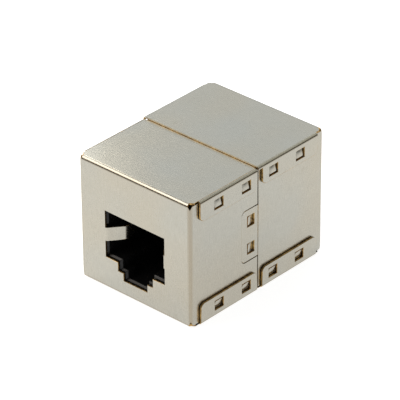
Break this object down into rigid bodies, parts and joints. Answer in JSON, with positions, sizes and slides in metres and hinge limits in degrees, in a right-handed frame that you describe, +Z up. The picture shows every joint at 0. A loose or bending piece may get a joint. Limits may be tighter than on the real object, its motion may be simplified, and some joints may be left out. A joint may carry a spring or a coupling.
{
  "type": "rj45 inline coupler",
  "caption": "Shielded inline coupler that joins two modular network cords end to end: two folded metal half shells latched round a pair of jacks back to back on a circuit board.",
  "frame": {"origin": "centre of the bottom face, halfway between the two socket faces", "axes": "+Z up, +Y from the front socket to the rear socket, +X to the right seen from the front socket"},
  "size_m": [0.023, 0.0296, 0.0213],
  "materials": {
    "nickel_plated_sheet": "satin nickel plating on brass sheet, with raw brass at the cut edges",
    "black_plastic": "moulded, fine matt",
    "contact_metal": "gold plated spring wire",
    "board_laminate": "green solder mask over glass laminate"
  },
  "bodies": {
    "root": {"circuit_board": "board_laminate", "front_contact_1": "contact_metal", "front_contact_2": "contact_metal", "front_contact_3": "contact_metal", "front_contact_4": "contact_metal", "front_contact_5": "contact_metal", "front_contact_6": "contact_metal", "front_contact_7": "contact_metal", "front_contact_8": "contact_metal", "front_contact_carrier": "black_plastic", "front_jack_housing": "black_plastic", "front_shell": "nickel_plated_sheet", "rear_contact_1": "contact_metal", "rear_contact_2": "contact_metal", "rear_contact_3": "contact_metal", "rear_contact_4": "contact_metal", "rear_contact_5": "contact_metal", "rear_contact_6": "contact_metal", "rear_contact_7": "contact_metal", "rear_contact_8": "contact_metal", "rear_contact_carrier": "black_plastic", "rear_jack_housing": "black_plastic", "rear_shell": "nickel_plated_sheet"}
  },
  "joints": []
}
